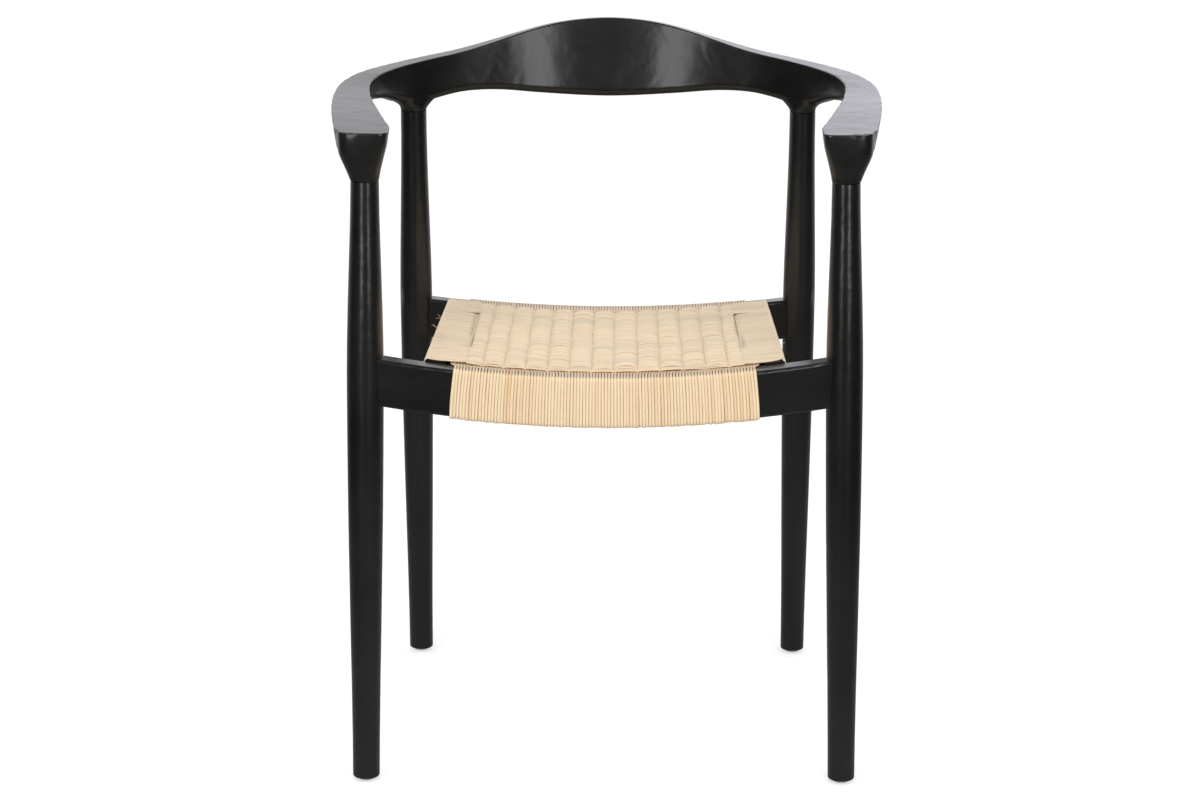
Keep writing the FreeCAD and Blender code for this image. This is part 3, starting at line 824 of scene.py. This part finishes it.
    def swell(self, x: Array, y: float, arches: Array, shift: float) -> Array:
        """How far a weft stands over its bed along its top run.

        Args:
            x: Places across the seat.
            y: The strand's place from front to back.
            arches: Its own height over each column.
            shift: How far its grooves stray sideways.

        Returns:
            The heights.
        """
        grooves = np.array(self.grooves)
        strayed = x - shift
        column = np.clip(np.searchsorted(grooves, strayed, side="right") - 1, 0, len(grooves) - 2)
        left, right = grooves[column], grooves[column + 1]
        share = np.clip((strayed - left) / (right - left), 0, 1)
        rise = arches[column] * (1 - np.abs(2 * share - 1) ** self.arch_fullness)
        nearest = np.min(np.abs(strayed[:, None] - grooves[None, 1:-1]), axis=1)
        rise = rise - self.groove_depth * np.exp(-(nearest / self.groove_width) ** 2)
        inside = (np.abs(strayed) < grooves[-1]).astype(float)
        open_slit = self.slit_share(y)
        border_rise = self.border_rise * (1 - open_slit) - self.border_sink * open_slit
        to_edge = np.clip((np.abs(x) - grooves[-1]) / self.border_width, 0, 1)
        border = border_rise * (1 - to_edge) ** 1.2
        slit = np.exp(-((np.abs(strayed) - grooves[-1]) / self.slit_width) ** 2)
        rise = rise * inside + border * (1 - inside)
        return rise - slit * (open_slit * self.slit_depth - (1 - open_slit) * self.seam_rise)

    def slit_share(self, y: float) -> float:
        """How open the slits beside the outer columns are at one place from front to back."""
        front, rear = self.slit_ends
        return float(np.clip(min((y - self.slit_front) / front, (self.slit_rear - y) / rear), 0, 1))

    def wefts(self) -> Tuple[Piece, Piece]:
        """The canes woven from side to side, in a front and a rear piece.

        Returns:
            The two pieces.
        """
        rng = random.Random(self.seed + 1)
        count, columns = self.weft_count, len(self.grooves) - 1
        quick, slow = self.arch_swells
        swells = [wave(rng, count, *quick) + wave(rng, count, *slow) for _ in range(columns)]
        steps = wave(rng, count, *self.arch_steps)
        stray = wave(rng, count, *self.stray_waves)
        tones = wave(rng, count, *self.tone_swell)
        drifts = [wave(rng, count, *self.tone_drift) for _ in range(columns + 2)]
        stains = [wave(rng, count, *self.stain_swell) for _ in range(columns + 2)]
        loose = [rng.randint(*self.first_loose) for _ in range(columns + 2)]
        borders = np.zeros(columns + 2)
        borders[[0, -1]] = self.border_soil_and_shade
        first = self.bed.front.back + self.weft_margins[0]
        last = self.bed.rear.face - self.weft_margins[1]
        strands = []
        for number in range(count):
            share = number / (count - 1)
            left = count - number
            painted_shades = self.painted_shades(rng, number, loose)
            arches = np.array([self.arch + swell[number] + steps[number]
                               + rng.uniform(-self.arch_jitter, self.arch_jitter) for swell in swells])
            arches -= self.loose_drop * painted_shades[1:-1]
            arches[[0, -1]] *= self.outer_arch
            arches *= min(1.0, self.front_growth[0] + number * self.front_growth[1],
                          self.rear_growth[0] + (left - 1) * self.rear_growth[1])
            painted_shades[[0, -1]] *= self.border_shade
            shifts = [self.tone + tones[number] + drift[number]
                      + rng.uniform(-self.tone_jitter, self.tone_jitter) for drift in drifts]
            # Random stains, with painted shade added: greyer in the borders and darker towards the rear
            soils_and_shades = [stain[number] for stain in stains] + borders + self.rear_painted_shade * share
            strands.append(self.weft(rng, Row(
                y=first + (last - first) * share,
                arches=arches,
                stray=stray[number],
                tones=np.clip(shifts, 0.0, 1.0),
                painted_shades=painted_shades,
                soils_and_shades=np.clip(soils_and_shades, 0.0, self.most_soil_and_shade),
                lip=max(0.0, 1 - number / self.lip_rows),
                lens=self.lens_shade if left in self.lens_rows else 0.0,
            )))
        loop = StrandLoop(len(strands[0].path), self.weft_sides)
        half = count // 2
        return loop.lay("cane_wefts_front", strands[:half]), loop.lay("cane_wefts_rear", strands[half:])

    def painted_shades(self, rng: random.Random, number: int, loose: List[int]) -> Array:
        """Painted shade on one weft by border and column, where it lies loose or is among the last.

        Args:
            rng: The seeded source.
            number: The weft's number from the front.
            loose: The number from which each border and column may be loose again, kept up to date.

        Returns:
            The painted shade from left to right.
        """
        painted_shades = np.zeros(len(loose))
        for column, free in enumerate(loose):
            if number >= free:
                loose[column] = number + rng.randint(*self.next_loose)
                painted_shades[column] = rng.uniform(*self.loose_shades)
        if self.weft_count - number in self.dark_rows:
            painted_shades[1:-1] = [rng.uniform(*self.dark_shades) for _ in range(len(loose) - 2)]
        return painted_shades

    def weft(self, rng: random.Random, row: Row) -> Strand:
        """One cane wound round the side rails and woven over the columns of warps.

        Args:
            rng: The seeded source.
            row: What sets it apart.

        Returns:
            The strand.
        """
        bed, y = self.bed, row.y
        off = self.gap + self.thickness / 2
        lift = self.thickness + self.layer_gap + off
        out = bed.side(y) + off + rng.uniform(*self.weft_play)
        turn = bed.corner + off
        reach = out - turn
        x = self.across_places(reach)
        curl = np.clip((x - self.grooves[-1]) / (reach - self.grooves[-1]), 0, 1) ** 2
        z = bed.top(x, y) + lift + self.swell(x, y, row.arches, row.stray)
        z += wave(rng, len(x), *self.weft_waves)
        z += row.lip * (self.lip_lift + wave(rng, len(x), *self.lip_waves) + self.lip_curl * curl)
        edge_top = float(bed.top(np.array(out), y)) + lift
        edge_low = float(bed.bottom(np.array(out), y)) - lift
        quarter = [math.pi / 2 * step / 4 for step in range(1, 4)]
        right = [(out - turn + turn * math.sin(a), edge_top - turn + turn * math.cos(a)) for a in quarter]
        drop = edge_top - edge_low - 2 * turn
        right += [(out, edge_top - turn - drop * share) for share in (0, 0.33, 0.67, 1)]
        right += [(out - turn + turn * math.cos(a), edge_low + turn - turn * math.sin(a)) for a in quarter]
        below = np.linspace(reach, -reach, self.below_points)
        under = list(zip(below, bed.bottom(below, y) - lift))
        left = [(-px, pz) for px, pz in reversed(right)]
        flat = np.array(list(zip(x, z)) + right + under + left)
        rest = np.zeros(len(flat) - len(x))
        bow = np.clip(1 - (x / reach) ** 2, 0, 1)
        lag = wave(rng, len(x), *self.lag_waves) - self.lip_lag * row.lip * bow ** 0.15
        lag -= self.rear_bow * (y - bed.front.back) * bow
        column = np.searchsorted(np.array(self.grooves), x - row.stray, side="right")
        return Strand(
            path=np.stack((flat[:, 0], y + np.concatenate((lag, rest)), flat[:, 1]), axis=1),
            across=Vector((0, 1, 0)),
            width=np.full(len(flat), self.weft_width * rng.uniform(*self.weft_widths)),
            thickness=self.thickness,
            tone=np.concatenate((row.tones[column], rest + row.tones[0])),
            soil_and_shade=np.concatenate((row.soils_and_shades[column], rest)),
            # Painted shade in the slits, in lens-shaped gaps and where the weft lies loose
            deep=np.concatenate((self.painted_shade(x, row, row.painted_shades[column]), rest)),
            tilt=wave(rng, len(flat), *self.weft_twist),
        )

    def painted_shade(self, x: Array, row: Row, painted_shades: Array) -> Array:
        """Painted shade along a weft's top run: in its slits, in lens-shaped gaps, and where it lies loose.

        Args:
            x: Places across the seat.
            row: What sets the weft apart.
            painted_shades: Its painted shade at each place.

        Returns:
            The painted shade, from 0 to 1.
        """
        slit = np.abs(np.abs(x - row.stray) - self.grooves[-1])
        past = x[:, None] - np.array(self.grooves[1:-1])[None, :] - self.lens_offset
        lens = row.lens * np.exp(-np.min(np.abs(past), axis=1) ** 2 / self.lens_width ** 2)
        opened = self.slit_share(row.y) * np.exp(-(slit / self.slit_width) ** 2)
        return np.maximum(opened, np.maximum(painted_shades, lens))

    def fibres(self) -> Piece:
        """Loose fibres that stand off the cane at its edges and slits.

        Returns:
            The piece.
        """
        bed = self.bed
        share = np.arange(self.fibre_points) / (self.fibre_points - 1)
        half = np.array((0.0, 0.0, self.fibre_half))
        strands = []
        for x, y, *tip in self.fibre_places:
            x = math.copysign(min(abs(x), bed.side(y) + self.fibre_inset), x)
            root = np.array((x, y, float(bed.top(np.array(x), y)) + self.fibre_lift))
            arc = root + share[:, None] * np.array(tip)
            arc += (share * (1 - share))[:, None] * np.array((0.0, 0.0, self.fibre_arch))
            path = np.concatenate((arc + half, arc[::-1] - half))
            flat = np.zeros(len(path))
            strands.append(Strand(path, Vector((0, 1, 0)), flat + self.fibre_width, self.fibre_width / 2,
                                  flat + self.fibre_tone, flat, flat, flat))
        return StrandLoop(len(strands[0].path), self.fibre_sides).lay("cane_fibres", strands)


@dataclass
class Hoop:
    """The arms and back rest: one carved sweep with softly eased edges, still parted at its finger joints."""

    names: Tuple[str, ...] = ("arm_right", "arm_left", "back_rest")
    voxel: float = 0.0013
    weld: float = 0.00001
    easing: float = 0.5
    smoothing: int = 9
    back_reach: float = 0.09
    joint_reach: float = 0.15
    dent_stretch: Point = (0.6, 1.0, 1.0)
    # Dents in the arms' front ends: place, reach and depth
    dents: Tuple[Tuple[float, ...], ...] = (
        (-0.2700, -0.2226, 0.6972, 0.0032, 0.0011),
        (-0.2600, -0.2226, 0.6965, 0.0022, 0.0008),
        (0.2560, -0.2226, 0.6965, 0.0024, 0.0010),
        (0.2740, -0.2226, 0.6965, 0.0030, 0.0010),
        (0.2660, -0.2200, 0.6982, 0.0020, 0.0008),
    )

    def build(self) -> List[Piece]:
        """Carves the hoop from copies of its three nodes and parts it where they meet.

        Returns:
            The pieces.
        """
        whole = self.carved()
        owner = self.owners(read(whole.data.polygons, "center", 3))
        corners = read(whole.data.polygons, "vertices", 4, int)
        spots = read(whole.data.vertices, "co", 3)
        normals = read(whole.data.vertices, "normal", 3)
        for x, y, z, reach, depth in self.dents:
            away = np.linalg.norm((spots - (x, y, z)) * self.dent_stretch, axis=1)
            spots -= normals * (depth * np.exp(-(away / reach) ** 2))[:, None]
        bpy.data.objects.remove(whole, do_unlink=True)
        return [self.part(name, corners[owner == number], spots) for number, name in enumerate(self.names)]

    def owners(self, centres: Array) -> Array:
        """Which of the three nodes each face of the hoop belongs to.

        Args:
            centres: The faces' middles.

        Returns:
            The nodes' numbers, by their nearest surfaces close to the finger joints.
        """
        trees = [BVHTree.FromObject(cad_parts[name], bpy.context.evaluated_depsgraph_get())
                 for name in self.names]
        right, left, back = range(len(self.names))
        off_middle = np.abs(centres[:, 0])
        owner = np.where(centres[:, 0] > 0, right, left)
        owner[off_middle < self.back_reach] = back
        for index in np.nonzero((off_middle >= self.back_reach) & (off_middle < self.joint_reach))[0]:
            gaps = [tree.find_nearest(centres[index])[3] for tree in trees]
            owner[index] = int(np.argmin(gaps))
        return owner

    def carved(self) -> Piece:
        """Joins copies of the nodes and eases their edges.

        Returns:
            The whole hoop.
        """
        deselect()
        copies = [placed("carving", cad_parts[name].data.copy()) for name in self.names]
        for copy in copies:
            copy.select_set(True)
        bpy.context.view_layer.objects.active = copies[0]
        bpy.ops.object.join()
        whole = bpy.context.object
        bpy.ops.object.mode_set(mode="EDIT")
        bpy.ops.mesh.select_all(action="SELECT")
        bpy.ops.mesh.remove_doubles(threshold=self.weld)
        bpy.ops.object.mode_set(mode="OBJECT")
        whole.data.remesh_voxel_size = self.voxel
        whole.data.remesh_voxel_adaptivity = 0.0
        bpy.ops.object.voxel_remesh()
        smooth = whole.modifiers.new("eased", "SMOOTH")
        smooth.factor = self.easing
        smooth.iterations = self.smoothing
        bpy.ops.object.modifier_apply(modifier=smooth.name)
        return whole

    def part(self, name: str, faces: Array, spots: Array) -> Piece:
        """One of the hoop's pieces.

        Args:
            name: The node that it stands for.
            faces: Its faces' vertices in the whole hoop.
            spots: The whole hoop's points.

        Returns:
            The piece.
        """
        used, numbers = np.unique(faces, return_inverse=True)
        mesh = bpy.data.meshes.new("carved_" + name)
        mesh.from_pydata(spots[used].tolist(), [], numbers.reshape(-1, 4).tolist())
        mesh.shade_smooth()
        piece = placed(mesh.name, mesh)
        shown(piece, [name])
        return piece


@dataclass
class Woodwork:
    """The chair's lacquered wood: hoop, legs and rails."""

    hoop_grains: Tuple[Grain, ...] = (Grain.SWEPT, Grain.SWEPT, Grain.ACROSS)
    single: Tuple[Tuple[str, Grain], ...] = (("front_rail", Grain.ACROSS), ("rear_rail", Grain.ACROSS))
    paired: Tuple[Tuple[str, Grain], ...] = (
        ("front_leg", Grain.UPRIGHT), ("rear_leg", Grain.UPRIGHT), ("side_rail", Grain.FORWARD))

    def dress(self) -> None:
        """Lacquers every wooden node, each along its own grain."""
        finishes = {grain: Lacquer(grain).make() for grain in Grain}
        for piece, grain in zip(Hoop().build(), self.hoop_grains):
            dress(piece, finishes[grain])
        pairs = [(stem + side, grain) for stem, grain in self.paired for side in ("_right", "_left")]
        for name, grain in (*self.single, *pairs):
            dress(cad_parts[name], finishes[grain])
            LOG.info("%s: %s", name, finishes[grain].name)


@dataclass
class Fittings:
    """Glides, their nails and the tacks."""

    glide: Plain = Plain("glide_plastic", (0.80, 0.80, 0.77), 0.38, glow=0.25)
    steel: Plain = Plain("nail_steel", (0.56, 0.56, 0.55), 0.34, metallic=1.0)

    def dress(self) -> None:
        """Gives the small fittings their finishes."""
        plastic, metal = self.glide.make(), self.steel.make()
        finishes = {"glide_nails": metal, "cane_tacks": metal}
        for corner in ("front_right", "rear_right", "front_left", "rear_left"):
            finishes["glide_" + corner] = plastic
        for name, finish in finishes.items():
            dress(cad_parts[name], finish)
            LOG.info("%s: %s", name, finish.name)


@dataclass(frozen=True)
class Lamp:
    """One soft lamp aimed at a point, with its width and height in metres and its power in watts."""

    name: str
    place: Point
    target: Point
    size: Pair
    power: float
    colour: Colour = (1.0, 1.0, 1.0)

    def hang(self) -> None:
        """Hangs the lamp, unseen by the camera."""
        data = bpy.data.lights.new(self.name, "AREA")
        data.shape = "RECTANGLE"
        data.size, data.size_y = self.size
        data.energy = self.power
        data.color = self.colour
        lamp = placed(self.name, data)
        lamp.location = self.place
        aim = Vector(self.target) - Vector(self.place)
        lamp.rotation_euler = aim.to_track_quat("-Z", "Y").to_euler()
        lamp.visible_camera = False


@dataclass
class Studio:
    """The floor, the surroundings, the lamps and the camera."""

    ambient: float = 0.86
    front_dim: float = 0.03
    behind_bright: float = 0.92
    sky_band: Pair = (-0.6, 0.95)
    side_falloff: float = 4.0
    sky_tint: Colour = (0.955, 0.945, 0.99)
    # Two tall strips in front, a broad lamp overhead and a bluish one behind
    lamps: Tuple[Lamp, ...] = (
        Lamp("strip", (-1.05, -2.4, 1.5), (0.0, 0.2, 0.9), (0.72, 2.2), 22.5),
        Lamp("strip", (1.15, -2.4, 1.5), (0.0, 0.2, 0.9), (0.74, 2.2), 22.5),
        Lamp("overhead", (0.0, -0.8, 2.6), (0.0, -0.1, 0.4), (2.2, 1.8), 5.0),
        Lamp("behind", (0.90, 3.0, 1.3), (0.25, 0.0, 0.7), (1.4, 1.4), 3.3, (0.88, 0.86, 1.0)),
    )
    floor_size: float = 60.0
    floor_colour: Colour = (0.58, 0.58, 0.58)
    floor_glow: float = 0.53
    # Darkness of the floor in reflections, from front to back and outwards: two places, two shares
    dark_back: Tuple[float, ...] = (0.2, 2.4, 0.94, 0.0)
    dark_out: Tuple[float, ...] = (0.4, 1.7, 0.5, 1.0)
    sensor: float = 36.0
    lens: float = 92.79
    far_clip: float = 200.0
    camera_place: Point = (0.0239, -3.3549, 1.1958)
    camera_right: Point = (0.99995, 0.009735, 0.002301)
    camera_up: Point = (-0.004582, 0.241227, 0.970458)
    camera_ahead: Point = (-0.00889, 0.97042, -0.24126)

    def build(self) -> None:
        """Sets up everything round the chair."""
        self.floor()
        self.world()
        for lamp in self.lamps:
            lamp.hang()
        self.camera()

    def floor(self) -> None:
        """A wide pale floor that keeps the chair's shadow and is dark where the chair reflects it."""
        deselect()
        bpy.ops.mesh.primitive_grid_add(x_subdivisions=2, y_subdivisions=2, size=self.floor_size,
                                        location=(0, 0, 0))
        plane = bpy.context.object
        plane.name = "floor"
        graph = Graph("pale_floor")
        path = graph.add("LightPath").outputs
        spot = graph.add("TexCoord").outputs["Object"]
        back = graph.spread(graph.add("SeparateXYZ", {0: spot}).outputs[1], *self.dark_back)
        away = graph.add("VectorMath", {0: spot}, operation="LENGTH").outputs["Value"]
        dark = graph.maths("MULTIPLY", back, graph.spread(away, *self.dark_out))
        card = graph.maths("MULTIPLY", path["Is Glossy Ray"], dark)
        matt = graph.add("BsdfDiffuse", {"Color": graph.blend(card, (*self.floor_colour, 1.0), BLACK)})
        glow = graph.maths("MULTIPLY", path["Is Camera Ray"], self.floor_glow)
        lit = graph.add("Emission", {"Color": WHITE, "Strength": glow})
        both = graph.add("AddShader", {0: matt.outputs[0], 1: lit.outputs[0]})
        graph.feed(graph.tree.nodes["Material Output"], {0: both.outputs[0]})
        graph.tree.nodes.remove(graph.shader)
        dress(plane, graph.material)

    def world(self) -> None:
        """White to the camera, even light on matt surfaces, and in reflections bright only from behind."""
        world = bpy.data.worlds.new("studio")
        bpy.context.scene.world = world
        world.use_nodes = True
        nodes = Nodes(world.node_tree)
        direction = nodes.add("TexCoord").outputs["Generated"]
        behind = nodes.spread(nodes.add("SeparateXYZ", {0: direction}).outputs[1], *self.sky_band, 0.0, 1.0)
        curve = nodes.maths("POWER", behind, self.side_falloff)
        towards = nodes.spread(curve, 0.0, 1.0, self.front_dim, self.behind_bright)
        path = nodes.add("LightPath").outputs
        glossy = nodes.mix(path["Is Glossy Ray"], self.ambient, towards)
        direct = nodes.maths("MAXIMUM", path["Is Camera Ray"], path["Is Transmission Ray"])
        tint = nodes.blend(path["Is Glossy Ray"], WHITE, (*self.sky_tint, 1.0))
        nodes.feed(nodes.tree.nodes["Background"], {0: tint, 1: nodes.mix(direct, glossy, 1.0)})

    def camera(self) -> None:
        """The camera at the photograph's viewing angle."""
        data = bpy.data.cameras.new("view")
        data.sensor_width = self.sensor
        data.lens = self.lens
        data.clip_end = self.far_clip
        camera = placed("view", data)
        axes = (self.camera_right, self.camera_up, -Vector(self.camera_ahead))
        camera.matrix_world = Matrix.Translation(self.camera_place) @ Matrix(axes).transposed().to_4x4()
        bpy.context.scene.camera = camera


def main() -> None:
    """Builds and dresses the chair, then the studio."""
    logging.basicConfig(level=logging.INFO, format="%(message)s")
    bpy.context.scene.view_settings.view_transform = "Standard"
    Woodwork().dress()
    Fittings().dress()
    wound = Cane().make()
    woven = Cane("woven_cane", pale=(0.85, 0.70, 0.505), warm=(0.77, 0.57, 0.37), grey=(0.69, 0.59, 0.45),
                 edge_brown_and_shade_share=0.55).make()
    warps, *rest = CaneSeat().build()
    dress(warps, wound)
    for piece in rest:
        dress(piece, woven)
    Studio().build()


if __name__ == "__main__":
    main()
